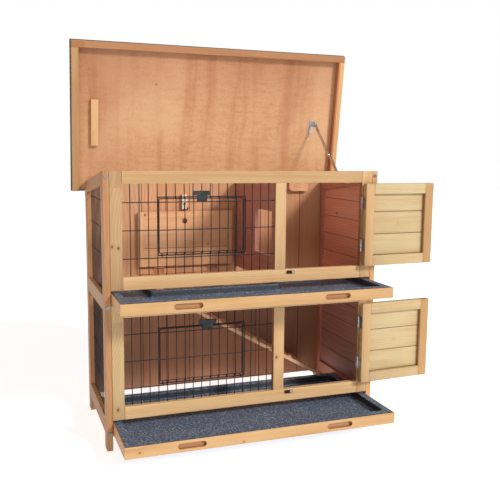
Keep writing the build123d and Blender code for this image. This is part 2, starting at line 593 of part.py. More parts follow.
plane, bar = stay_arm((788.0, 790.0), pivot_b, along_stay, UPPER_ARM)
add("stay_upper_arm", plane * (bar + Pos(UPPER_ARM, 0, -0.7) * Cylinder(4, 1.6)))
plane, bar = stay_arm((792.0, 794.0), STAY_ON_RAIL, along_stay * -1, LOWER_ARM)
add("stay_lower_arm", plane * (bar + Pos(LOWER_ARM, 0, 2.7) * Cylinder(4, 1.6)))

s, n = STAY_ON_ROOF
bracket = roof_block((774, 787), (166, 214), (UNDERSIDE - 1.5, UNDERSIDE))
bracket += roof_block((785.4, 787), (s - 9, s + 9), (n - 8, UNDERSIDE))
pin = (pivot_b[0], pivot_b[1])
bracket += rod((785.5, *pin), (791.0, *pin), 2.5)
add("stay_roof_bracket", bracket)

y, z = STAY_ON_RAIL
add("stay_side_bracket", block((RIGHT_POST - 1.6, RIGHT_POST), (y - 13, y + 13), (z - 10, z + 10)) +
    rod((795.0, y, z), (RIGHT_POST - 1, y, z), 5) + rod((791.0, y, z), (796.0, y, z), 2.5))

# --- move everything so that the origin is under the middle, and write the files -------------------------------
whole = Compound(children=[solid for solids in parts.values() for solid in solids]).bounding_box()
shift = (-(whole.min.X + whole.max.X) / 2, -(whole.min.Y + whole.max.Y) / 2, -whole.min.Z)
os.makedirs("parts", exist_ok=True)
for node, solids in parts.items():
    loose = [piece for solid in solids for piece in solid.solids()]
    export_step(Compound(children=[Pos(*shift) * piece for piece in loose]), f"parts/{node}.step")

elbow = Vector(0, *STAY_ON_RAIL) - along_stay * LOWER_ARM
print("nodes", len(parts), "shift", [round(v, 3) for v in shift])
print("size", whole.size, "low", whole.min, "high", whole.max)
print("door pin", DOOR_PIN_X, DOOR_PIN_Y, "roof axis", ROOF_AXIS, "stay upper pivot", pivot_b)
print("closed upper pivot", pivot_b_closed, "arms", UPPER_ARM, LOWER_ARM, "elbow", elbow)
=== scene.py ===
"""Looks of the two-storey rabbit hutch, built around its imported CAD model.

Every length below is in millimetres in the cabinet's own frame, whose zero is the
cabinet's front left floor corner; at() turns such a place into the frame's metres.
"""

from math import atan, cos, pi, radians, sin

import bmesh
import bpy
from mathutils import Matrix, Vector


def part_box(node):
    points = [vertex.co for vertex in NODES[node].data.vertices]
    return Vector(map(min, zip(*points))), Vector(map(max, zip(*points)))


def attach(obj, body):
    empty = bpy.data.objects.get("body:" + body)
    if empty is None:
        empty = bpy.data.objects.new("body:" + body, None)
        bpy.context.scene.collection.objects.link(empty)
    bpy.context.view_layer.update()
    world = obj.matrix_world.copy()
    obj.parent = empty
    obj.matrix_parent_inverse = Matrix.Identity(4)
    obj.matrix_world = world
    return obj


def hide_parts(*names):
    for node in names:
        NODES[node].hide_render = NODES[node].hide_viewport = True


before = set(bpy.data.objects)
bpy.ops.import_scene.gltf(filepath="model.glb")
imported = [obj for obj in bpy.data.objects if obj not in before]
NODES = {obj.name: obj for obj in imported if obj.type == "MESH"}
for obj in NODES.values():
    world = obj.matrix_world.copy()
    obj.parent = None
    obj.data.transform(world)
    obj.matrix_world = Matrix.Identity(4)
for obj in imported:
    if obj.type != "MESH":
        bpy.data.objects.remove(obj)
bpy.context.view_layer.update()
MM = 0.001
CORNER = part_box("front_left_post")[0]


def at(x, y, z):
    """A place given in the cabinet's millimetres, in the frame's metres."""
    return CORNER + Vector((x, y, z)) * MM


def span(node):
    """The lowest and highest corner of a CAD node, in the cabinet's millimetres."""
    low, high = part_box(node)
    return (low - CORNER) / MM, (high - CORNER) / MM


def zone(low, high, **cuts):
    """The box between two corners grown by 1 mm, with the sides in cuts (x0 to z1) moved."""
    corners = [[value - 1.0 for value in low], [value + 1.0 for value in high]]
    for side, value in cuts.items():
        corners[int(side[1])]["xyz".index(side[0])] = value
    return tuple(tuple(corner) for corner in corners)


# --- sizes that the CAD boxes give ---
STOREYS = ("upper", "lower")
FRAME_LOW = {storey: span(f"{storey}_front_stiles")[0].z for storey in STOREYS}
CABINET_WIDTH = span("front_right_post")[1].x
CABINET_DEPTH = span("back_left_post")[1].y
POST_THICKNESS = span("front_left_post")[1].x
POST_WIDTH = span("front_left_post")[1].y

# --- sizes that the boxes do not give ---
BOTTOM_RAIL = 37.2
FRAME_HEIGHT = 330.0
TOP_RAIL = 35.6
WIRE_RADIUS = 1.3
WIRE_PITCH = 25.6
FIRST_WIRE = 75.4
MESH_LEVELS = (86.0, 165.0, 243.0)   # above the front frame's lower edge
SIDE_LEVELS = {"lower": (168.0, 246.0, 324.0), "upper": (546.0, 625.0, 703.0)}
SIDE_BAYS = {"lower": (91.0, 401.0, 401.0), "upper": (443.0, 750.4, 715.6)}  # floor, tops
MIDDLE_RAIL = 422.0                  # the height of the middle of the side's middle rail
SLOT_CENTRES = (200.0, 641.0)
SLOT_HALF = (41.0, 8.5)              # half of a finger slot's length and height
DOOR_OPEN = radians(183.0)
DOOR_STILE = 30.0
DOOR_RAIL = 32.0
ROOF_BORDER = 22.0
RAMP_TILT = atan(0.573)
STOREY_SPLIT = 421.0                 # the height between the two storeys
ROOF_LEAN = radians(8.0)             # how far the raised roof leans back from upright


# === shader building ===
class Shader:
    """A material whose node tree is written as short expressions."""

    def __init__(self, name):
        self.material = bpy.data.materials.new(name)
        self.material.use_nodes = True
        self.tree = self.material.node_tree
        self.surface = self.tree.nodes["Principled BSDF"]

    def add(self, kind, inputs=None, **settings):
        node = self.tree.nodes.new(kind)
        for key, value in settings.items():
            setattr(node, key, value)
        for key, value in (inputs or {}).items():
            self.plug(node.inputs[key], value)
        return node

    def plug(self, socket, value):
        if isinstance(value, bpy.types.NodeSocket):
            self.tree.links.new(value, socket)
        else:
            socket.default_value = value

    def math(self, operation, *values, clamp=False):
        inputs = dict(enumerate(values))
        node = self.add("ShaderNodeMath", inputs, operation=operation, use_clamp=clamp)
        return node.outputs[0]

    def vector(self, operation, *values):
        node = self.add("ShaderNodeVectorMath", dict(enumerate(values)), operation=operation)
        scalar = operation in ("LENGTH", "DISTANCE", "DOT_PRODUCT")
        return node.outputs["Value" if scalar else "Vector"]

    def join(self, x, y, z):
        return self.add("ShaderNodeCombineXYZ", {0: x, 1: y, 2: z}).outputs[0]

    def split(self, vector):
        return self.add("ShaderNodeSeparateXYZ", {0: vector}).outputs

    def noise(self, place, scale, detail=2.0, roughness=0.5):
        inputs = {"Vector": place, "Scale": scale, "Detail": detail, "Roughness": roughness}
        return self.add("ShaderNodeTexNoise", inputs).outputs["Fac"]

    def smooth(self, value, low, high):
        """0 below low, 1 above high, smooth between them."""
        inputs = {"Value": value, "From Min": low, "From Max": high}
        node = self.add("ShaderNodeMapRange", inputs, interpolation_type="SMOOTHSTEP")
        return node.outputs["Result"]

    def scaled(self, value, low, high):
        """A value of 0 to 1 taken to low to high."""
        node = self.add("ShaderNodeMapRange", {"Value": value, "To Min": low, "To Max": high})
        return node.outputs["Result"]

    def within(self, place, low, high):
        """1 inside a box given in millimetres, 0 outside."""
        inside = 1.0
        for value, start, end in zip(self.split(place), low, high):
            after = self.math("GREATER_THAN", value, start * MM)
            before = self.math("LESS_THAN", value, end * MM)
            inside = self.math("MULTIPLY", inside, self.math("MULTIPLY", after, before))
        return inside

    def mix(self, amount, first, second, blend="MIX"):
        node = self.add("ShaderNodeMix", data_type="RGBA", blend_type=blend)
        self.plug(node.inputs["Factor"], amount)
        for key, colour in (("A", first), ("B", second)):
            socket = next(s for s in node.inputs if s.name == key and s.type == "RGBA")
            linked = isinstance(colour, bpy.types.NodeSocket)
            self.plug(socket, colour if linked else (*colour, 1.0))
        return next(s for s in node.outputs if s.type == "RGBA")

    def place(self):
        return self.add("ShaderNodeTexCoord").outputs["Object"]

    def finish(self, colour, roughness, height=None, strength=0.3, distance=0.0005, **constants):
        """Wires the colour, the roughness and the bump into the surface."""
        if isinstance(colour, bpy.types.NodeSocket):
            self.plug(self.surface.inputs["Base Color"], colour)
        else:
            self.surface.inputs["Base Color"].default_value = (*colour, 1.0)
        self.plug(self.surface.inputs["Roughness"], roughness)
        if height is not None:
            bump = self.add("ShaderNodeBump", {"Strength": strength, "Distance": distance,
                                               "Height": height})
            self.plug(self.surface.inputs["Normal"], bump.outputs["Normal"])
        for key, value in constants.items():
            self.surface.inputs[key.replace("_", " ")].default_value = value
        return self.material


# --- timber ---
PALE_PINE = (0.76, 0.51, 0.28)
WARM_PINE = (0.68, 0.39, 0.17)
# Darker copies of the pine for the left side's posts and rails: painted shade, as the light comes
# from the right.
SHADED_POST_PINE = (0.45, 0.215, 0.085)
SHADED_SIDE_PINE = (0.45, 0.225, 0.085)
TRAY_PINE = (0.60, 0.375, 0.17)
# A darker, redder copy for the right side's back post and rails: painted shade.
SHADED_RED_PINE = (0.56, 0.225, 0.15)
DOOR_PINE = (0.545, 0.425, 0.235)
STILE_PINE = (0.54, 0.355, 0.165)
# A lighter copy for the ramp and its cleats: painted light.
LIT_RAMP_PINE = (0.96, 0.60, 0.37)
# A darker copy for the partition: painted shade.
SHADED_PARTITION_PINE = (0.48, 0.185, 0.145)
# A brighter copy for the right side's boards: painted light on their inner face.
LIT_BOARD_PINE = (0.95, 0.44, 0.30)
# Darker copies for the roof's front and side borders: painted shade.
SHADED_ROOF_FRONT_PINE = (0.43, 0.195, 0.08)
SHADED_ROOF_SIDE_PINE = (0.48, 0.275, 0.12)
INNER_PINE = (0.66, 0.34, 0.18)    # redder pine for the inner faces
BARE_PINE = (0.86, 0.70, 0.52)     # unstained blocks
HATCH_PINE = (0.78, 0.44, 0.235)
WHOLE = 10000.0                    # a cell so large that it never splits a node


def pine(name, grain, cells, pale=PALE_PINE, knots=(), tilt=0.0, seams=(), shade_boxes=(),
         tints=(), shade_strength=0.85):
    """Sawn pine.

    grain is the axis the fibres run along, cells the size of the boxes (in millimetres)
    that tell one board from the next, and knots are (x, y, z, radius) in millimetres.
    tilt turns the grain about X (for the roof) or about Y (for the ramp).
    seams is an axis and the places along it (in millimetres) where one board meets the
    next: each side is another board, and a dark line runs along the joint, part dirt and part
    painted shade.
    The boxes after seams, each (low corner, high corner), darken the timber inside them to a deep
    brown: painted shade in recesses and on faces turned from the light, and tints are (low corner,
    high corner, colour) boxes whose timber is multiplied by a colour: painted light and shade
    where light falls unevenly, and some changes of tone.
    The last argument is how far that painted shade covers the timber.
    """
    s = Shader(name)
    place = s.vector("SUBTRACT", s.place(), tuple(CORNER))
    sizes = tuple(cell * MM for cell in cells)
    board = s.vector("FLOOR", s.vector("DIVIDE", place, sizes))
    joint_dirt_and_shade = None
    if seams:
        axis, joints = seams
        here = s.split(place)["XYZ".index(axis)]
        passed = 0.0
        for joint in joints:
            passed = s.math("ADD", s.math("GREATER_THAN", here, joint * MM), passed)
            gap = s.math("ABSOLUTE", s.math("SUBTRACT", here, joint * MM))
            line = s.smooth(gap, 1.5 * MM, 0.6 * MM)
            joint_dirt_and_shade = line if joint_dirt_and_shade is None else s.math("MAXIMUM", joint_dirt_and_shade, line)
        board = s.vector("ADD", board, s.join(passed, passed, passed))
    chance = s.split(s.add("ShaderNodeTexWhiteNoise", {"Vector": board}).outputs["Color"])
    turned = place
    if tilt:
        axis = "X_AXIS" if grain == "Z" else "Y_AXIS"
        turned = s.add("ShaderNodeVectorRotate", {"Vector": place, "Angle": tilt},
                       rotation_type=axis).outputs[0]
    x, y, z = s.split(turned)
    along, wide, deep = {"X": (x, z, y), "Y": (y, z, x), "Z": (z, x, y)}[grain]

    # Growth rings are circles about a pith that lies outside the board and wanders along it.
    shift = s.math("MULTIPLY", chance[0], 7.0)
    drift = s.noise(s.join(s.math("MULTIPLY", along, 2.2), shift, chance[1]), 1.0, 2.0)
    pith_wide = s.math("MULTIPLY_ADD", s.math("SUBTRACT", drift, 0.5), 0.16,
                       s.math("MULTIPLY", s.math("SUBTRACT", chance[1], 0.5), 0.12))
    pith_deep = s.math("MULTIPLY_ADD", chance[2], 0.06, 0.035)
    ring_place = s.join(s.math("ADD", wide, pith_wide), s.math("ADD", deep, pith_deep), 0.0)
    radius = s.vector("LENGTH", ring_place)

    # Fibres: long thin streaks.
    stretched = s.join(s.math("MULTIPLY", along, 7.0), s.math("MULTIPLY", wide, 160.0),
                       s.math("MULTIPLY_ADD", deep, 160.0, shift))
    fibre = s.noise(stretched, 4.0, 3.0, 0.6)
    streak = s.noise(s.join(s.math("MULTIPLY", along, 3.0), s.math("MULTIPLY", wide, 60.0),
                            s.math("MULTIPLY_ADD", deep, 60.0, shift)), 1.0, 2.0)
    patch = s.noise(s.vector("MULTIPLY", turned, (9.0, 9.0, 9.0)), 1.0, 2.0)

    # Each knot pushes the rings aside and has a dark rim.
    core = None
    halo = None
    for kx, ky, kz, size in knots:
        offset = s.vector("SUBTRACT", place, (kx * MM, ky * MM, kz * MM))
        squeeze = tuple(0.72 if axis == grain else 1.0 for axis in "XYZ")
        away = s.vector("LENGTH", s.vector("MULTIPLY", offset, squeeze))
        inside = s.smooth(away, size * MM * 1.15, size * MM * 0.85)
        near = s.smooth(away, size * MM * 3.2, size * MM * 0.9)
        core = inside if core is None else s.math("MAXIMUM", core, inside)
        halo = near if halo is None else s.math("MAXIMUM", halo, near)
    if halo is not None:
        radius = s.math("MULTIPLY_ADD", halo, 0.012, radius)
    wobble = s.noise(s.vector("MULTIPLY", turned, (14.0, 14.0, 14.0)), 1.0, 1.0)
    phase = s.math("ADD", s.math("MULTIPLY", radius, 190.0), s.math("MULTIPLY", wobble, 0.7))
    ring = s.math("FRACT", phase)
    late = s.math("MULTIPLY", s.smooth(ring, 0.35, 0.93), s.smooth(ring, 1.0, 0.95))

    deeper = tuple(c * f for c, f in zip(pale, (0.80, 0.66, 0.50)))
    lighter = tuple(min(1.0, c * f) for c, f in zip(pale, (1.07, 1.12, 1.22)))
    colour = s.mix(s.scaled(late, 0.0, 0.60), pale, deeper)
    colour = s.mix(s.scaled(s.smooth(fibre, 0.35, 0.7), 0.0, 0.30), colour, lighter)
    colour = s.mix(s.scaled(s.smooth(streak, 0.42, 0.72), 0.0, 0.48), colour, deeper)
    colour = s.mix(s.scaled(s.smooth(patch, 0.4, 0.75), 0.0, 0.22), colour, deeper)
    tone = s.scaled(chance[0], 0.90, 1.05)
    red = s.scaled(chance[2], 0.93, 1.04)
    tint = s.join(tone, s.math("MULTIPLY", tone, red),
                  s.math("MULTIPLY", tone, s.math("MULTIPLY", red, red)))
    colour = s.mix(1.0, colour, tint, "MULTIPLY")
    if core is not None:
        knot_grain = s.noise(s.vector("MULTIPLY", place, (420.0, 420.0, 420.0)), 1.0, 2.0)
        knot = s.mix(knot_grain, (0.10, 0.030, 0.012), (0.34, 0.13, 0.045))
        colour = s.mix(s.scaled(halo, 0.0, 0.35), colour, (0.52, 0.24, 0.08))
        colour = s.mix(s.math("MULTIPLY", core, 0.92), colour, knot)
    # A dark line along each joint: part dirt, part painted shade.
    if joint_dirt_and_shade is not None:
        joint_dirt_and_shade_colour = tuple(c * f for c, f in zip(pale, (0.30, 0.20, 0.16)))
        colour = s.mix(s.math("MULTIPLY", joint_dirt_and_shade, 0.85), colour, joint_dirt_and_shade_colour)
    # Painted shade: the timber inside each of these boxes turns deep brown.
    for low, high in shade_boxes:
        inside = s.within(place, low, high)
        colour = s.mix(s.math("MULTIPLY", inside, shade_strength), colour, (0.33, 0.11, 0.050))
    # Painted light and shade, and some changes of tone, multiplied into the timber.
    for low, high, tint in tints:
        colour = s.mix(s.within(place, low, high), colour, s.mix(1.0, colour, tint, "MULTIPLY"))
    height = s.math("ADD", s.math("MULTIPLY", fibre, 0.6), s.math("MULTIPLY", late, 0.4))
    roughness = s.scaled(fibre, 0.42, 0.62)
    return s.finish(colour, roughness, height, 0.35, 0.0004)


def plywood():
    """Rotary-cut veneer: broad wavy bands up the sheet, with pores and a few stains."""
    s = Shader("stained_plywood_with_painted_shade")
    place = s.vector("SUBTRACT", s.place(), tuple(CORNER))
    x, _, z = s.split(place)
    sway = s.noise(s.join(s.math("MULTIPLY", x, 2.0), 0.0, s.math("MULTIPLY", z, 3.0)), 1.0, 2.0)
    across = s.math("MULTIPLY_ADD", sway, 0.05, x)
    band_place = s.join(s.math("MULTIPLY", across, 16.0), 3.0, s.math("MULTIPLY", z, 1.2))
    band = s.noise(band_place, 1.0, 4.0, 0.6)
    rise = s.math("MULTIPLY_ADD", sway, 0.10, z)
    figure_place = s.join(s.math("MULTIPLY", x, 22.0), 9.0, s.math("MULTIPLY", rise, 75.0))
    figure = s.noise(figure_place, 1.0, 5.0, 0.7)
    mottle = s.noise(s.join(s.math("MULTIPLY", x, 150.0), 5.0, s.math("MULTIPLY", rise, 190.0)),
                     1.0, 3.0, 0.7)
    pore_place = s.join(s.math("MULTIPLY", x, 900.0), 0.0, s.math("MULTIPLY", z, 60.0))
    pores = s.noise(pore_place, 1.0, 2.0)
    cloud = s.noise(s.vector("MULTIPLY", place, (4.0, 4.0, 4.0)), 1.0, 3.0)
    colour = s.mix(s.smooth(band, 0.30, 0.55), (0.56, 0.25, 0.11), (0.70, 0.375, 0.185))
    colour = s.mix(s.scaled(s.smooth(figure, 0.42, 0.70), 0.0, 0.42), colour, (0.47, 0.18, 0.075))
    colour = s.mix(s.scaled(s.smooth(mottle, 0.46, 0.72), 0.0, 0.36), colour, (0.44, 0.16, 0.065))
    colour = s.mix(s.scaled(s.smooth(cloud, 0.40, 0.66), 0.0, 0.50), colour, (0.78, 0.47, 0.26))
    colour = s.mix(s.scaled(s.smooth(pores, 0.56, 0.72), 0.0, 0.32), colour, (0.27, 0.085, 0.03))
    spots = s.add("ShaderNodeTexVoronoi", {"Vector": place, "Scale": 9.0}).outputs["Distance"]
    spotted = s.math("MULTIPLY", s.smooth(spots, 0.05, 0.02), 0.55)
    colour = s.mix(spotted, colour, (0.2, 0.06, 0.02))
    # Painted shade: darker towards the front edge, which is the top while the roof is up.
    height_here = s.math("MULTIPLY_ADD", sway, 0.16, z)
    painted_top_shade = s.math("MULTIPLY", s.smooth(height_here, 0.96, 1.30), 0.9)
    colour = s.mix(painted_top_shade, colour, s.mix(1.0, colour, (0.60, 0.48, 0.42), "MULTIPLY"))
    # Painted shade: darker towards the left edge.
    across_here = s.math("MULTIPLY_ADD", sway, 0.16, x)
    painted_left_shade = s.math("MULTIPLY", s.smooth(across_here, 0.36, -0.02), 0.8)
    colour = s.mix(painted_left_shade, colour, s.mix(1.0, colour, (0.72, 0.62, 0.56), "MULTIPLY"))
    height = s.math("ADD", s.math("MULTIPLY", pores, 0.5), s.math("MULTIPLY", figure, 0.5))
    return s.finish(colour, s.scaled(figure, 0.5, 0.68), height, 0.3, 0.0003)


def felt():
    """Bitumen roofing felt with mineral granules."""
    s = Shader("mineral_felt")
    place = s.place()
    grains = s.add("ShaderNodeTexVoronoi", {"Vector": place, "Scale": 620.0})
    tint = s.split(grains.outputs["Color"])[0]
    cloud = s.noise(place, 7.0, 3.0)
    colour = s.mix(tint, (0.022, 0.030, 0.028), (0.085, 0.105, 0.095))
    colour = s.mix(s.smooth(tint, 0.93, 0.97), colour, (0.22, 0.25, 0.23))
    colour = s.mix(s.scaled(cloud, 0.0, 0.45), colour, (0.035, 0.045, 0.040))
    height = s.math("SUBTRACT", 1.0, grains.outputs["Distance"])
    return s.finish(colour, s.scaled(tint, 0.78, 0.95), height, 0.6, 0.0008)


def coated_wire():
    """Black powder coat with a fine orange peel and a little dust."""
    s = Shader("black_coated_wire")
    place = s.place()
    peel = s.noise(place, 900.0, 2.0)
    dust = s.noise(place, 38.0, 3.0)
    colour = s.mix(s.smooth(dust, 0.45, 0.75), (0.006, 0.006, 0.008), (0.024, 0.023, 0.024))
    return s.finish(colour, s.scaled(dust, 0.40, 0.60), peel, 0.25, 0.0002,
                    Specular_IOR_Level=0.28)


def moulded_plastic():
    """Black moulded nylon."""
    s = Shader("black_moulded_plastic")
    place = s.place()
    grit = s.noise(place, 1400.0, 2.0)
    wear = s.noise(place, 60.0, 3.0)
    colour = s.mix(s.smooth(wear, 0.4, 0.75), (0.014, 0.017, 0.020), (0.050, 0.056, 0.060))
    return s.finish(colour, s.scaled(wear, 0.38, 0.58), grit, 0.3, 0.0002)


def liner_plastic():
    """Dark slate tray liner with a speckled, hammered face."""
    s = Shader("hammered_slate_liner")
    place = s.place()
    cells = s.add("ShaderNodeTexVoronoi", {"Vector": place, "Scale": 330.0})
    speck = s.split(cells.outputs["Color"])[1]
    grit = s.noise(place, 420.0, 3.0, 0.7)
    cloud = s.noise(place, 6.0, 3.0)
    colour = s.mix(s.smooth(grit, 0.36, 0.66), (0.030, 0.046, 0.078), (0.150, 0.210, 0.320))
    bright = s.math("MULTIPLY", s.smooth(speck, 0.70, 0.92), 0.70)
    colour = s.mix(bright, colour, (0.44, 0.56, 0.74))
    colour = s.mix(s.scaled(cloud, 0.0, 0.30), colour, (0.060, 0.080, 0.115))
    # Painted shade: the upright walls are darker than the flats.
    facing = s.split(s.add("ShaderNodeNewGeometry").outputs["True Normal"])[2]
    upright = s.smooth(s.math("ABSOLUTE", facing), 0.80, 0.35)
    colour = s.mix(upright, colour, s.mix(1.0, colour, (0.13, 0.14, 0.16), "MULTIPLY"))
    height = s.math("ADD", s.math("MULTIPLY", grit, 0.6),
                    s.math("MULTIPLY", cells.outputs["Distance"], 0.8))
    return s.finish(colour, s.scaled(speck, 0.48, 0.66), height, 0.45, 0.0006)


def plated_steel(name="zinc_plated_steel", bright=(0.66, 0.66, 0.68), rough=(0.24, 0.42)):
    """Zinc plate: brushed, with faint clouds."""
    s = Shader(name)
    place = s.place()
    brushed = s.noise(s.vector("MULTIPLY", place, (1500.0, 1500.0, 60.0)), 1.0, 2.0)
    cloud = s.noise(place, 45.0, 3.0)
    dull = tuple(c * 0.62 for c in bright)
    colour = s.mix(s.smooth(cloud, 0.35, 0.75), bright, dull)
    return s.finish(colour, s.scaled(cloud, *rough), brushed, 0.12, 0.0002, Metallic=1.0)


def room_floor():
    """A plain pale floor with the faintest mottling."""
    s = Shader("studio_floor")
    cloud = s.noise(s.place(), 1.3, 2.0)
    colour = s.mix(cloud, (0.90, 0.90, 0.90), (0.93, 0.93, 0.93))
    s.surface.inputs["Emission Color"].default_value = (1.0, 1.0, 1.0, 1.0)
    return s.finish(colour, s.scaled(cloud, 0.6, 0.7), Emission_Strength=0.72)


# === mesh building ===
def new_piece(name, mesh_source, body, material, replaces=()):
    """Makes an object of a bmesh (metres), and says what it rides on and stands for."""
    bmesh.ops.recalc_face_normals(mesh_source, faces=mesh_source.faces)
    data = bpy.data.meshes.new(name)
    mesh_source.to_mesh(data)
    mesh_source.free()
    for face in data.polygons:
        face.use_smooth = True
    data.set_sharp_from_angle(angle=radians(38))
    piece = bpy.data.objects.new(name, data)
    bpy.context.scene.collection.objects.link(piece)
    data.materials.append(material)
    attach(piece, body)
    if replaces:
        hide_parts(*replaces)
    return piece


def bridge(mesh, rings):
    """Joins each ring of vertices to the next with four-sided faces."""
    for first, second in zip(rings, rings[1:]):
        count = len(first)
        for k in range(count):
            n = (k + 1) % count
            mesh.faces.new((first[k], first[n], second[n], second[k]))


def tube(mesh, points, radius, sides=8, closed=False):
    """Adds a round wire through points (cabinet millimetres) to a bmesh."""
    places = [at(*p) for p in points]
    count = len(places)
    rings = []
    normal = None
    for i, here in enumerate(places):
        before = places[i - 1] if i or closed else here
        after = places[(i + 1) % count] if i < count - 1 or closed else here
        forward = (after - before).normalized()
        if normal is None:
            helper = Vector((0, 0, 1)) if abs(forward.z) < 0.9 else Vector((0, 1, 0))
            normal = forward.cross(helper).normalized()
        normal = (normal - forward * normal.dot(forward)).normalized()
        other = forward.cross(normal)
        stretch = 1.0
        if 0 < i < count - 1 or closed:
            bend = (here - before).normalized().dot(forward)
            stretch = 1.0 / max(bend, 0.6)
        ring = []
        for k in range(sides):
            turn = 2 * pi * k / sides
            spoke = normal * cos(turn) + other * sin(turn)
            ring.append(mesh.verts.new(here + spoke * radius * MM * stretch))
        rings.append(ring)
    bridge(mesh, rings + rings[:1] if closed else rings)
    if not closed:
        mesh.faces.new(rings[0][::-1])
        mesh.faces.new(rings[-1])


def rounded_path(corners, radius, steps=4, closed=False):
    """A path through corners with each bend taken round, as a wire is bent."""
    count = len(corners)
    path = []
    for i, corner in enumerate(corners):
        here = Vector(corner)
        if not closed and i in (0, count - 1):
            path.append(here)
            continue
        before = (Vector(corners[i - 1]) - here).normalized()
        after = (Vector(corners[(i + 1) % count]) - here).normalized()
        start = here + before * radius
        end = here + after * radius
        for k in range(steps + 1):
            t = k / steps
            path.append(start * (1 - t) ** 2 + here * 2 * t * (1 - t) + end * t ** 2)
    return [tuple(p) for p in path]


def slab(mesh, x, y, z, ease=0.9, segments=2, matrix=None):
    """Adds a board with eased edges, given by its ranges, to a bmesh."""
    corners = [at(px, py, pz) for pz in z for py in y for px in x]
    verts = [mesh.verts.new(c) for c in corners]
    sides = ((0, 1, 3, 2), (4, 5, 7, 6), (0, 1, 5, 4), (2, 3, 7, 6), (0, 2, 6, 4), (1, 3, 7, 5))
    faces = [mesh.faces.new([verts[i] for i in side]) for side in sides]
    bmesh.ops.recalc_face_normals(mesh, faces=faces)
    edges = list({edge for face in faces for edge in face.edges})
    made = bmesh.ops.bevel(mesh, geom=edges, offset=ease * MM, segments=segments,
                           profile=0.5, affect="EDGES")
    if matrix is not None:
        touched = set(made["verts"]) | {v for v in verts if v.is_valid}
        bmesh.ops.transform(mesh, matrix=matrix, verts=list(touched))


RECESS_FLOOR = 0.45                # as a share of the screw head's height


def dome(mesh, centre, axis, radius, height, sides=20):
    """Adds a low domed screw head with a driver's recess, facing along axis, to a bmesh."""
    axis = Vector(axis).normalized()
    helper = Vector((0, 0, 1)) if abs(axis.z) < 0.9 else Vector((0, 1, 0))
    right = axis.cross(helper).normalized()
    up = axis.cross(right)
    base = at(*centre)
    rings = []
    for reach, rise in ((1.0, 0.0), (0.96, 0.4), (0.78, 0.76), (0.5, 0.94)):
        ring = []
        for k in range(sides):
            turn = 2 * pi * k / sides
            spoke = right * cos(turn) + up * sin(turn)
            offset = spoke * radius * reach + axis * height * rise
            ring.append(mesh.verts.new(base + offset * MM))
        rings.append(ring)
    bridge(mesh, rings)
    # The recess is a plain dip in the head's top.
    top = rings[-1]
    centre_vert = mesh.verts.new(base + axis * height * MM * RECESS_FLOOR)
    for k in range(sides):
        n = (k + 1) % sides
        mesh.faces.new((top[k], top[n], centre_vert))
    mesh.faces.new(rings[0][::-1])


# --- wire fronts ---
MESH_Y = 12.2
INTO_TIMBER = 2.5
LEFT_STILE_EDGE = 51.0
CENTRE_STILE_EDGE = 502.5
HOLE_X = (156.2, 404.8)
HOLE_Z = (99.4, 252.2)             # above the frame's lower edge
DOOR_X = span("upper_wire_door")[0].x, span("upper_wire_door")[1].x
DOOR_WIRE_Y = 4.4


def uprights_between(low, high):
    places = [FIRST_WIRE + WIRE_PITCH * i for i in range(17)]
    return [x for x in places if low < x < high]


def run_mesh(storey, material):
    """Welded mesh over the run, with a hole that the wire door covers."""
    low = FRAME_LOW[storey]
    bottom = low + BOTTOM_RAIL - INTO_TIMBER
    top = low + FRAME_HEIGHT - TOP_RAIL + INTO_TIMBER
    left = LEFT_STILE_EDGE - INTO_TIMBER
    right = CENTRE_STILE_EDGE + INTO_TIMBER
    hole = [low + z for z in HOLE_Z]
    mesh = bmesh.new()
    behind = MESH_Y + 0.5
    before = MESH_Y - 0.9
    for x in uprights_between(left, right):
        if HOLE_X[0] < x < HOLE_X[1]:
            tube(mesh, [(x, behind, bottom), (x, behind, hole[0])], WIRE_RADIUS)
            tube(mesh, [(x, behind, hole[1]), (x, behind, top)], WIRE_RADIUS)
        else:
            tube(mesh, [(x, behind, bottom), (x, behind, top)], WIRE_RADIUS)
    for level in MESH_LEVELS:
        z = low + level
        if hole[0] < z < hole[1]:
            tube(mesh, [(left, before, z), (HOLE_X[0], before, z)], WIRE_RADIUS)
            tube(mesh, [(HOLE_X[1], before, z), (right, before, z)], WIRE_RADIUS)
        else:
            tube(mesh, [(left, before, z), (right, before, z)], WIRE_RADIUS)
    rim = [(HOLE_X[0], before, hole[0]), (HOLE_X[1], before, hole[0]),
           (HOLE_X[1], before, hole[1]), (HOLE_X[0], before, hole[1])]
    tube(mesh, rounded_path(rim, 4.0, closed=True), WIRE_RADIUS, closed=True)
    return new_piece(f"{storey}_run_wires", mesh, "cabinet", material,
                     (f"{storey}_run_mesh",))


def wire_door(storey, material):
    """The wire door: a bent outer wire with uprights and two levels."""
    low = FRAME_LOW[storey]
    box_low, box_high = span(f"{storey}_wire_door")
    bottom = box_low.z + 1.2
    top = box_high.z - WIRE_RADIUS
    left, right = box_low.x + 1.5, box_high.x - 1.5
    y = DOOR_WIRE_Y
    mesh = bmesh.new()
    outline = [(left, y, bottom), (right, y, bottom), (right, y, top), (left, y, top)]
    tube(mesh, rounded_path(outline, 5.0, 5, True), 1.75, 10, closed=True)
    for x in uprights_between(left + 4, right - 4):
        tube(mesh, [(x, y + 0.3, bottom), (x, y + 0.3, top)], WIRE_RADIUS)
    for level in MESH_LEVELS[1:]:
        tube(mesh, [(left, y - 0.5, low + level), (right, y - 0.5, low + level)], WIRE_RADIUS)
    return new_piece(f"{storey}_wire_gate_wires", mesh, f"{storey}_wire_gate",
                     material, (f"{storey}_wire_door",))


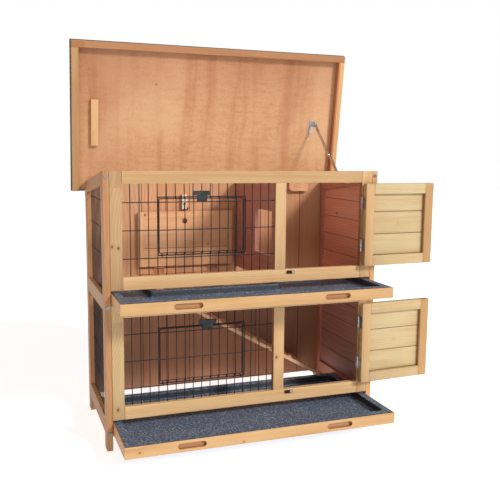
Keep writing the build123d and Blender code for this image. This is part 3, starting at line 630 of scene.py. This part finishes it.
def side_mesh(material):
    """Welded mesh in the two bays of the left side."""
    x = span("left_side_mesh")[0].x + WIRE_RADIUS
    near = POST_WIDTH
    far = CABINET_DEPTH - POST_WIDTH
    mesh = bmesh.new()
    for storey, (bottom, near_top, far_top) in SIDE_BAYS.items():
        for i in range(1, 12):
            y = near + WIRE_PITCH * i
            share = (y - near) / (far - near)
            top = near_top + (far_top - near_top) * share
            tube(mesh, [(x, y, bottom - INTO_TIMBER), (x, y, top + INTO_TIMBER)], WIRE_RADIUS)
        for z in SIDE_LEVELS[storey]:
            tube(mesh, [(x + 1.3, near - INTO_TIMBER, z), (x + 1.3, far + INTO_TIMBER, z)],
                 WIRE_RADIUS)
    return new_piece("left_side_wires", mesh, "cabinet", material,
                     ("left_side_mesh",))


def gate_clips(material):
    """Small wire loops on the mesh that hold each wire door's hinge wire."""
    mesh = bmesh.new()
    for storey in STOREYS:
        z = span(f"{storey}_wire_door")[0].z + 1.2
        for x in (DOOR_X[0] + 12.5, DOOR_X[1] - 12.5):
            for turn in (-1.3, 1.3):
                loop = [(x + turn, DOOR_WIRE_Y + 3.0 * cos(a), z + 3.0 * sin(a))
                        for a in (2 * pi * k / 14 for k in range(14))]
                tube(mesh, loop, 0.8, 6, closed=True)
            tail = [(x, DOOR_WIRE_Y + 2.4, z + 1.5), (x, MESH_Y - 2.0, z + 3.0),
                    (x, MESH_Y - 1.6, z + 6.5)]
            tube(mesh, rounded_path(tail, 1.2), 0.9, 6)
    return new_piece("wire_gate_clips", mesh, "cabinet", material,
                     ("wire_door_clips",))


def ribbed_bar(mesh, x, y, z, ribs, rise=0.9):
    """Adds a moulded bar with upright ribs on its front face to a bmesh."""
    steps = ribs * 6
    front = []
    for k in range(steps + 1):
        t = k / steps
        swell = rise * (0.5 - 0.5 * cos(2 * pi * ribs * t)) ** 0.7
        front.append((x[0] + (x[1] - x[0]) * t, y[0] + rise - swell))
    outline = front + [(x[1], y[1]), (x[0], y[1])]
    rings = []
    for inset, height in ((0.7, z[0]), (0.0, z[0] + 0.7), (0.0, z[1] - 0.7), (0.7, z[1])):
        centre = (x[0] + x[1]) / 2
        scale = 1 - 2 * inset / (x[1] - x[0])
        rings.append([mesh.verts.new(at(centre + (px - centre) * scale,
                                        min(py + inset, y[1]), height)) for px, py in outline])
    bridge(mesh, rings)
    mesh.faces.new(rings[0][::-1])
    mesh.faces.new(rings[-1])


def wire_latch(storey, material):
    """Slide latch: a narrow ribbed body under a wider ribbed grip."""
    low, high = span(f"{storey}_wire_latch")
    grip_height = 13.0
    body_inset = 13.0
    mesh = bmesh.new()
    ribbed_bar(mesh, (low.x, high.x), (low.y, high.y), (high.z - grip_height, high.z), 15)
    ribbed_bar(mesh, (low.x + body_inset, high.x - 10.0), (low.y + 1.2, high.y),
               (low.z, high.z - grip_height + 1.0), 8, 0.7)
    ribbed_bar(mesh, (low.x + body_inset + 2, high.x - 12.0), (low.y + 0.2, low.y + 1.6),
               (low.z + 1.5, low.z + 4.5), 1, 0.3)
    return new_piece(f"{storey}_gate_latch_mould", mesh, f"{storey}_gate_latch",
                     material, (f"{storey}_wire_latch",))


# --- tray liners ---
def inset_outline(corners, inset, radius, steps=5):
    """An axis-aligned outline moved inwards, with every corner rounded."""
    count = len(corners)
    area = sum(corners[i - 1][0] * corners[i][1] - corners[i][0] * corners[i - 1][1]
               for i in range(count))
    side = 1 if area > 0 else -1
    moved = []
    for i in range(count):
        before, here, after = (Vector(corners[(i + k) % count]) for k in (-1, 0, 1))
        first = (here - before).normalized()
        second = (after - here).normalized()
        inward = Vector((-first.y, first.x)) * side + Vector((-second.y, second.x)) * side
        moved.append((here + inward * inset, first, second))
    points = []
    for here, first, second in moved:
        centre = here - first * radius + second * radius
        for k in range(steps + 1):
            turn = pi / 2 * k / steps
            points.append(centre - second * radius * cos(turn) + first * radius * sin(turn))
    return points


# The upper liner's notch for the ramp: its left and right, and its front as a distance
# from the liner's own front edge.
RAMP_NOTCH = (149.0, 498.0, 162.0)


def liner(storey, material, notch=None):
    """A formed liner: flat rim, a raised bead, rounded walls and a flat floor."""
    low, high = span(f"{storey}_tray_liner")
    rim_drop = 2.0
    wall = 22.0                     # from the liner's edge to the basin
    corners = [(low.x, low.y), (high.x, low.y), (high.x, high.y), (low.x, high.y)]
    if notch:
        left, right, front = notch
        corners[3:3] = [(right, high.y), (right, front), (left, front), (left, high.y)]
    # (inset, height, corner radius) of each ring, from under the rim's edge to the floor
    rings_at = [(0.0, high.z - rim_drop, 2.5), (0.0, high.z - 0.9, 2.5), (0.5, high.z - 0.6, 2.5),
                (1.5, high.z - 0.6, 3.0), (wall - 8.0, high.z - 0.6, 7.0),
                (wall - 5.0, high.z - 0.5, 8.0),
                (wall - 3.6, high.z, 8.5), (wall - 1.4, high.z, 9.0),
                (wall, high.z - 1.0, 9.5), (wall + 1.6, high.z - 5.0, 10.0),
                (wall + 2.6, low.z + 6.0, 10.0), (wall + 4.4, low.z + 3.2, 9.0),
                (wall + 8.0, low.z + 2.0, 7.0), (wall + 11.0, low.z + 2.0, 6.0)]
    mesh = bmesh.new()
    rings = []
    for inset, height, radius in rings_at:
        outline = inset_outline(corners, inset, radius)
        rings.append([mesh.verts.new(at(p.x, p.y, height)) for p in outline])
    under = []
    for inset, height, radius in ((2.0, high.z - rim_drop, 2.5), (wall, high.z - rim_drop, 9.5),
                                  (wall + 1.4, low.z + 4.0, 10.0), (wall + 6.0, low.z, 9.0)):
        outline = inset_outline(corners, inset, radius)
        under.append([mesh.verts.new(at(p.x, p.y, height)) for p in outline])
    count = len(rings[0])
    chain = under[::-1] + rings
    bridge(mesh, chain)
    for ring in (chain[0], chain[-1]):
        edges = [mesh.edges.get((ring[k], ring[(k + 1) % count])) for k in range(count)]
        bmesh.ops.triangle_fill(mesh, use_beauty=True, edges=edges, normal=(0.0, 0.0, 1.0))
    piece = new_piece(f"{storey}_tray_formed_liner", mesh, f"{storey}_tray",
                      material, (f"{storey}_tray_liner",))
    piece.modifiers.new("normals", "WEIGHTED_NORMAL").keep_sharp = True
    return piece


# --- plank doors ---
DOOR_PIN = (786.2, -4.5)
DOOR_CLOSED_X = (538.0, 784.9)
DOOR_THICKNESS = 18.0
DOOR_BOARD_Y = (0.5, 6.5)
DOOR_BOARDS = (65.0, 69.0, 55.0)   # heights, from the bottom
JOINT = 0.35                       # hairline between a door's stiles and rails
GROOVE = 1.1                       # half of the groove between two boards


def door_turn():
    """The turn that opens a plank door about its hinge pin."""
    pin = at(*DOOR_PIN, 0)
    return Matrix.Translation(pin) @ Matrix.Rotation(DOOR_OPEN, 4, "Z") @ Matrix.Translation(-pin)


def door_frame(storey):
    """A plank door: stiles, rails and tongued boards, each with its own eased edges."""
    low = FRAME_LOW[storey]
    z = (low + BOTTOM_RAIL + 2.0, low + FRAME_HEIGHT - TOP_RAIL - 2.0)
    turn = door_turn()
    inner = (DOOR_CLOSED_X[0] + DOOR_STILE, DOOR_CLOSED_X[1] - DOOR_STILE)
    thick = (0.0, DOOR_THICKNESS)
    body = f"{storey}_door"

    stiles = bmesh.new()
    for x in ((DOOR_CLOSED_X[0], inner[0] - JOINT), (inner[1] + JOINT, DOOR_CLOSED_X[1])):
        slab(stiles, x, thick, z, 1.2, matrix=turn)
    # Painted shade along the free stile's edge beside the planks.
    edge = 2 * DOOR_PIN[0] - inner[0]
    painted_edge_shade = ((edge - 1.5, -30.0, z[0] + DOOR_RAIL), (edge + 1.0, 0.0, z[1] - DOOR_RAIL))
    free = ((edge + 1.0, -60.0, z[0] - 5.0), (edge + 60.0, 60.0, z[1] + 5.0), (0.88, 0.80, 0.70))
    new_piece(f"{storey}_door_stiles", stiles, body,
              pine(f"{storey}_door_stile_pine", "Z", (150.0, WHOLE, 372.0), STILE_PINE,
                   shade_boxes=(painted_edge_shade,), tints=(free,)),
              (f"{storey}_door_frame",))

    rails = bmesh.new()
    for heights in ((z[0], z[0] + DOOR_RAIL), (z[1] - DOOR_RAIL, z[1])):
        slab(rails, inner, thick, heights, 1.2, matrix=turn)
    new_piece(f"{storey}_door_rails", rails, body,
              pine(f"{storey}_door_rail_pine", "X", (WHOLE, WHOLE, 120.0), DOOR_PINE),
              (f"{storey}_door_frame",))

    boards = bmesh.new()
    bottom, top = z[0] + DOOR_RAIL, z[1] - DOOR_RAIL
    share = (top - bottom) / sum(DOOR_BOARDS)
    edges = [bottom]
    for height in DOOR_BOARDS:
        edges.append(edges[-1] + height * share)
    for first, second in zip(edges, edges[1:]):
        slab(boards, inner, DOOR_BOARD_Y, (first + GROOVE, second - GROOVE), 1.0, matrix=turn)
    tongue = (DOOR_BOARD_Y[0] + 2.2, DOOR_BOARD_Y[1] - 2.2)
    slab(boards, inner, tongue, (bottom, top), 0.3, 1, matrix=turn)
    flat = turn @ at((inner[0] + inner[1]) / 2, 0.5, 0)
    face_y = (flat - CORNER).y / MM
    knots = ((912.0, face_y, edges[1] + 30.0, 4.2), (874.0, face_y, edges[1] + 1.0, 4.0))
    new_piece(f"{storey}_door_planks", boards, body,
              pine(f"{storey}_door_plank_pine", "X", (WHOLE, WHOLE, WHOLE), DOOR_PINE, knots,
                   seams=("Z", edges)),
              (f"{storey}_door_boards",))


# --- ironmongery ---
BUTTON_PIVOT_X = 559.0
HOOK_PIVOT = (319.0, 672.0)        # X and Z
HINGE_LEAVES = (82.0, 213.0)       # above the frame's lower edge
HINGE_SCREWS = ((8.0, 6.5), (10.0, 19.0), (8.0, 31.5))   # behind the pin, above the leaf's foot


def hatch_hook(material):
    """Bent wire hook under its screw eye."""
    low, high = span("hatch_hook")
    y = (low.y + high.y) / 2
    x, z = HOOK_PIVOT
    mesh = bmesh.new()
    eye = [(x + 3.2 * cos(a), y, z + 3.2 * sin(a)) for a in (2 * pi * k / 18 for k in range(18))]
    tube(mesh, eye, 0.9, 8, closed=True)
    tube(mesh, [(x, y, z - 3.2), (x, y, z - 16.0)], 0.9, 8)
    catch = [(x, y, z - 14.0), (x, y, z - 19.6), (x + 10.5, y, z - 19.6), (x + 10.5, y, z - 11.5)]
    tube(mesh, rounded_path(catch, 3.6, 6), 1.9, 12)
    return new_piece("hatch_wire_hook", mesh, "hook", material, ("hatch_hook",))


def hook_screw(material):
    """The screw that the hatch hook swivels on."""
    back = span("hatch_hook")[1].y
    mesh = bmesh.new()
    dome(mesh, (HOOK_PIVOT[0], back + 0.4, HOOK_PIVOT[1]), (0, -1, 0), 1.7, 2.6)
    return new_piece("hook_screw", mesh, "cabinet", material)


def button_screws(material):
    """Round screw heads that the turn-buttons pivot on."""
    mesh = bmesh.new()
    for storey in STOREYS:
        low, high = span(f"{storey}_door_button")
        middle = (low.z + high.z) / 2
        dome(mesh, (BUTTON_PIVOT_X, low.y - 0.1, middle), (0, -1, 0), 4.3, 2.6)
    return new_piece("button_screw_heads", mesh, "cabinet", material)


def hinge_screws(material):
    """Screw heads in the fixed leaves of the plank doors' hinges."""
    mesh = bmesh.new()
    leaf_x = DOOR_PIN[0] + 0.5
    for storey in STOREYS:
        for height in HINGE_LEAVES:
            for y, z in HINGE_SCREWS:
                place = (leaf_x, DOOR_PIN[1] + y, FRAME_LOW[storey] + height + z)
                dome(mesh, place, (-1, 0, 0), 2.0, 0.7, 16)
    return new_piece("door_hinge_screws", mesh, "cabinet", material)


# === materials of the carried-over nodes ===
def dress(node, material, edge=None, segments=2):
    """Gives a CAD node its material and, where its solids stand apart, eased edges."""
    thing = NODES[node]
    thing.data.materials.clear()
    thing.data.materials.append(material)
    if edge:
        weld = thing.modifiers.new("weld", "WELD")
        weld.merge_threshold = 0.00001
        bevel = thing.modifiers.new("eased_edges", "BEVEL")
        bevel.width = edge * MM
        bevel.segments = segments
        bevel.limit_method = "ANGLE"
        bevel.angle_limit = radians(40)
        bevel.harden_normals = False
        normals = thing.modifiers.new("normals", "WEIGHTED_NORMAL")
        normals.keep_sharp = False


def even_joints(low, high, count):
    """Where count equal boards between low and high meet."""
    return [low + (high - low) * i / count for i in range(1, count)]


def timber():
    """Timber of the cabinet, the roof, the doors, the trays and the ramp."""
    single = (WHOLE, WHOLE, WHOLE)
    front_knots = {"upper": ((40.0, 0.0, 579.0, 3.2), (23.0, 0.0, 583.5, 2.8)),
                   "lower": ((32.0, 0.0, 119.5, 3.6), (512.0, 0.0, 229.0, 3.6))}
    dress("front_left_post", pine("post_front_left", "Z", single, SHADED_POST_PINE), 1.2)
    dress("front_right_post", pine("post_front_right", "Z", (400.0, WHOLE, WHOLE), WARM_PINE), 1.2)
    dress("back_left_post", pine("post_back_left", "Z", (WHOLE, 300.0, WHOLE), SHADED_POST_PINE), 1.2)
    dress("back_right_post", pine("post_back_right", "Z", (350.0, 300.0, WHOLE), SHADED_RED_PINE), 1.2)
    for side, shade in (("left", SHADED_SIDE_PINE), ("right", SHADED_RED_PINE)):
        material = pine(f"{side}_side_rail_pine", "Y", (WHOLE, WHOLE, 250.0), shade)
        dress(f"{side}_side_rails", material, 1.2)
    outer_joints = (POST_THICKNESS, CABINET_WIDTH - POST_THICKNESS)
    low, high = span("upper_front_rails")
    rail_joints = (low.x, high.x)
    # Painted shade on the left stiles and on the upper storey's top rail.
    painted_shades = {"upper": ((0.62, 0.58, 0.53), (0.67, 0.65, 0.56)),
              "lower": ((0.76, 0.79, 0.71), (1.0, 1.0, 1.0))}
    for storey in STOREYS:
        left_painted_shade, top_painted_shade = painted_shades[storey]
        low, high = span(f"{storey}_front_stiles")
        # Painted shade on the stiles' edges towards the openings, which are turned from the light.
        edges = [((x - 1.0, low.y + 1.4, low.z), (x + 0.5, high.y + 1.0, high.z))
                 for x in (CENTRE_STILE_EDGE, DOOR_PIN[0] + 1.0)]
        # The left stile is darkened further as painted shade; the other stiles are toned down.
        left = (*zone(low, high, x1=low.x + 45.0), left_painted_shade)
        others = (*zone(low, high, x0=low.x + 45.0), (0.84, 0.80, 0.71))
        dress(f"{storey}_front_stiles",
              pine(f"{storey}_stile_pine", "Z", (250.0, WHOLE, 372.0), PALE_PINE,
                   front_knots[storey], seams=("X", outer_joints), shade_boxes=edges,
                   tints=(left, others)), 1.2)
        low, high = span(f"{storey}_front_rails")
        middle = (low.z + high.z) / 2
        # Painted shade on the top halves of the rails and painted light on the bottom halves.
        top = (*zone(low, high, z0=middle), top_painted_shade)
        bottom = (*zone(low, high, z1=middle), (1.12, 1.07, 0.96))
        dress(f"{storey}_front_rails",
              pine(f"{storey}_rail_pine", "X", (WHOLE, WHOLE, 160.0), PALE_PINE,
                   seams=("X", rail_joints), tints=(top, bottom)), 1.2)

    low, high = span("right_side_boards")
    bays = ((low.z, SIDE_BAYS["lower"][1]), (SIDE_BAYS["upper"][0], high.z))
    joints = [z for bay in bays for z in even_joints(*bay, 5)] + [MIDDLE_RAIL]
    middle = (low.x + high.x) / 2
    # Painted shade on the lower storey's inner face; the outer face is toned back down from the
    # bright copy's painted light.
    below = (*zone(low, high, z0=0.0, x1=middle, z1=STOREY_SPLIT), (0.50, 0.55, 0.68))
    outside = (*zone(low, high, x0=middle), (0.74, 0.84, 0.66))
    side_knots = ((831.0, 90.0, 470.0, 3.5), (831.0, 250.0, 640.0, 3.0))
    dress("right_side_boards", pine("side_board_pine", "Y", single, LIT_BOARD_PINE, side_knots,
                                    seams=("Z", sorted(joints)),
                                    tints=(below, outside)))
    low, high = span("back_boards")
    middle = (low.y + high.y) / 2
    # Painted shade on the lower storey's back boards.
    below = (*zone(low, high, z0=0.0, y1=middle, z1=STOREY_SPLIT), (0.56, 0.52, 0.56))
    dress("back_boards", pine("back_board_pine", "Z", single, INNER_PINE, tints=(below,),
                              seams=("X", even_joints(low.x, high.x, 10))))
    dress("back_rails", pine("back_rail_pine", "X", (WHOLE, WHOLE, 200.0), WARM_PINE), 1.2)
    dress("tray_runners", pine("runner_pine", "Y", (400.0, WHOLE, 200.0), WARM_PINE))
    dress("partition_boards", pine("partition_pine", "Y", (WHOLE, WHOLE, 72.0), SHADED_PARTITION_PINE))
    low, high = span("back_wall_blocks")
    orange = (*zone(low, high, x0=low.x + 100.0), (1.0, 0.70, 0.52))
    # Painted shade on the blocks' left faces.
    shaded = zone(low, high, x1=low.x + 0.8)
    dress("back_wall_blocks", pine("block_pine", "Z", (200.0, WHOLE, WHOLE), BARE_PINE,
                                   tints=(orange,), shade_boxes=(shaded,)))
    dress("ramp_board", pine("ramp_pine", "X", single, LIT_RAMP_PINE, tilt=-RAMP_TILT), 1.2)
    dress("ramp_cleats", pine("cleat_pine", "Y", (55.0, WHOLE, WHOLE), LIT_RAMP_PINE), 0.8)
    dress("ramp_supports", pine("support_pine", "Y", (300.0, WHOLE, WHOLE), INNER_PINE))
    dress("hatch_hinge_rail", pine("hatch_rail_pine", "X", single, INNER_PINE))
    low, high = span("hatch_boards")
    hatch_knots = ((185.0, 348.0, 638.0, 3.0), (400.0, 348.0, 536.0, 2.6))
    dress("hatch_boards", pine("hatch_board_pine", "X", single, HATCH_PINE, hatch_knots,
                               seams=("Z", even_joints(low.z, high.z, 3))))
    dress("hatch_end_battens", pine("hatch_batten_pine", "Z", (200.0, WHOLE, WHOLE), HATCH_PINE),
          0.8)
    dress("roof_front_border", pine("roof_front_pine", "X", single, SHADED_ROOF_FRONT_PINE), 1.5)
    low, high = span("roof_side_borders")
    # Painted light on the right border.
    right = ((low.x + 100.0, low.y, low.z), (high.x + 1.0, high.y, high.z + 1.0),
             (1.40, 1.36, 1.25))
    # Painted shade on the right border's face where it meets the panel.
    inner = high.x - ROOF_BORDER
    painted_edge_shade = ((inner - 1.0, low.y, low.z), (inner + 7.0, high.y, high.z))
    side_pine = pine("roof_side_pine", "Z", (450.0, WHOLE, WHOLE), SHADED_ROOF_SIDE_PINE,
                     tilt=-ROOF_LEAN, tints=(right,), shade_boxes=(painted_edge_shade,))
    dress("roof_side_borders", side_pine, 1.5)
    dress("roof_batten", pine("roof_batten_pine", "Z", single, WARM_PINE, tilt=-ROOF_LEAN), 1.2)
    for storey in STOREYS:
        door_frame(storey)
    tray_knots = {"upper": (), "lower": ((58.0, -177.0, 62.5, 2.6), (346.0, -177.0, 54.0, 2.2))}
    for storey in STOREYS:
        low, high = span(f"{storey}_tray_front")
        middle = (low.z + high.z) / 2
        half, rise = SLOT_HALF
        # Painted shade inside the finger slots.
        painted_slot_shade = [((x - half, low.y + 1.4, middle - rise), (x + half, high.y, middle + rise))
                 for x in SLOT_CENTRES]
        dress(f"{storey}_tray_front",
              pine(f"{storey}_tray_front_pine", "X", single, TRAY_PINE, tray_knots[storey],
                   shade_boxes=painted_slot_shade, shade_strength=0.5), 1.2)
        dress(f"{storey}_tray_boards",
              pine(f"{storey}_tray_board_pine", "Y", (300.0, WHOLE, 400.0), WARM_PINE))


def metal_and_felt():
    """Hinges, screws, stay, buttons and the roof's skin."""
    zinc = plated_steel()
    chrome = plated_steel("polished_stay_steel", (0.72, 0.71, 0.70), (0.10, 0.22))
    dark = plated_steel("bracket_steel", (0.50, 0.48, 0.47), (0.14, 0.30))
    hinge_steel = plated_steel("hinge_steel", (0.44, 0.43, 0.42), (0.20, 0.38))
    for node in ("roof_hinge_fixed", "roof_hinge_leaves", "stay_side_bracket"):
        dress(node, zinc, 0.25, 1)
    bolt_steel = plated_steel("dull_bolt_steel", (0.34, 0.33, 0.32), (0.3, 0.5))
    dress("frame_fasteners", bolt_steel, 0.25, 1)
    for node in ("door_hinge_fixed", "upper_door_hinge_leaves", "lower_door_hinge_leaves"):
        dress(node, hinge_steel)
    for node in ("hatch_hinge_fixed", "hatch_hinge_leaves"):
        dress(node, plated_steel(f"{node}_bronze", (0.55, 0.27, 0.15), (0.5, 0.7)))
    for node in ("upper_door_button", "lower_door_button"):
        dress(node, coated_wire(), 0.4, 2)
    dress("stay_roof_bracket", dark, 0.3, 2)
    for node in ("stay_upper_arm", "stay_lower_arm"):
        dress(node, chrome, 0.5, 3)
    dress("roof_panel", plywood(), 0.5)
    dress("roof_felt", felt(), 0.6)
    hook_screw(zinc)
    hinge_screws(zinc)
    button_screws(zinc)


def wire_and_plastic():
    """Wires, latches and tray liners."""
    wire = coated_wire()
    plastic = moulded_plastic()
    slate = liner_plastic()
    side_mesh(wire)
    gate_clips(wire)
    hatch_hook(wire)
    for storey in STOREYS:
        run_mesh(storey, wire)
        wire_door(storey, wire)
        wire_latch(storey, plastic)
    liner("lower", slate)
    left, right, front = RAMP_NOTCH
    front += span("upper_tray_liner")[0].y
    liner("upper", slate, (left, right, front))


# === studio ===
def studio():
    """Pale floor, white surround, a broad front light and a key light from the upper right."""
    mesh = bmesh.new()
    reach = 12.0
    corners = ((-reach, -reach), (reach, -reach), (reach, reach), (-reach, reach))
    mesh.faces.new([mesh.verts.new((x, y, 0.0)) for x, y in corners])
    data = bpy.data.meshes.new("studio_floor")
    mesh.to_mesh(data)
    mesh.free()
    floor = bpy.data.objects.new("studio_floor", data)
    data.materials.append(room_floor())
    bpy.context.scene.collection.objects.link(floor)

    world = bpy.data.worlds.new("studio")
    bpy.context.scene.world = world
    world.use_nodes = True
    tree = world.node_tree
    background = tree.nodes["Background"]
    background.inputs["Color"].default_value = (1.0, 0.985, 0.965, 1.0)
    background.inputs["Strength"].default_value = 0.25
    seen = tree.nodes.new("ShaderNodeBackground")
    seen.inputs["Color"].default_value = (1.0, 1.0, 1.0, 1.0)
    choose = tree.nodes.new("ShaderNodeMixShader")
    rays = tree.nodes.new("ShaderNodeLightPath")
    tree.links.new(rays.outputs["Is Camera Ray"], choose.inputs["Fac"])
    tree.links.new(background.outputs[0], choose.inputs[1])
    tree.links.new(seen.outputs[0], choose.inputs[2])
    tree.links.new(choose.outputs[0], tree.nodes["World Output"].inputs["Surface"])

    def sun(name, towards, strength, size, colour):
        light = bpy.data.lights.new(name, "SUN")
        light.energy = strength
        light.angle = radians(size)
        light.color = colour
        thing = bpy.data.objects.new(name, light)
        thing.rotation_euler = Vector(towards).to_track_quat("Z", "Y").to_euler()
        bpy.context.scene.collection.objects.link(thing)

    sun("window", (0.00, -0.95, 0.25), 0.52, 90.0, (1.0, 0.985, 0.955))
    sun("key", (0.44, -0.74, 0.52), 2.35, 12.0, (1.0, 0.98, 0.95))


def camera():
    """The camera that the picture is taken with."""
    data = bpy.data.cameras.new("camera")
    data.lens = 50.76
    data.sensor_width = 36.0
    data.clip_start = 0.05
    data.clip_end = 60.0
    thing = bpy.data.objects.new("camera", data)
    right = Vector((0.9396986, -0.34187258, 0.00946948))
    up = Vector((0.03723487, 0.12979197, 0.99084187))
    back = right.cross(up)
    turn = Matrix((right, up, back)).transposed().to_4x4()
    thing.matrix_world = Matrix.Translation((-0.774119, -2.033808, 0.8376)) @ turn
    bpy.context.scene.collection.objects.link(thing)
    bpy.context.scene.camera = thing


timber()
metal_and_felt()
wire_and_plastic()
studio()
camera()
bpy.context.scene.view_settings.view_transform = "Standard"
bpy.context.scene.view_settings.look = "None"

bpy.context.view_layer.update()
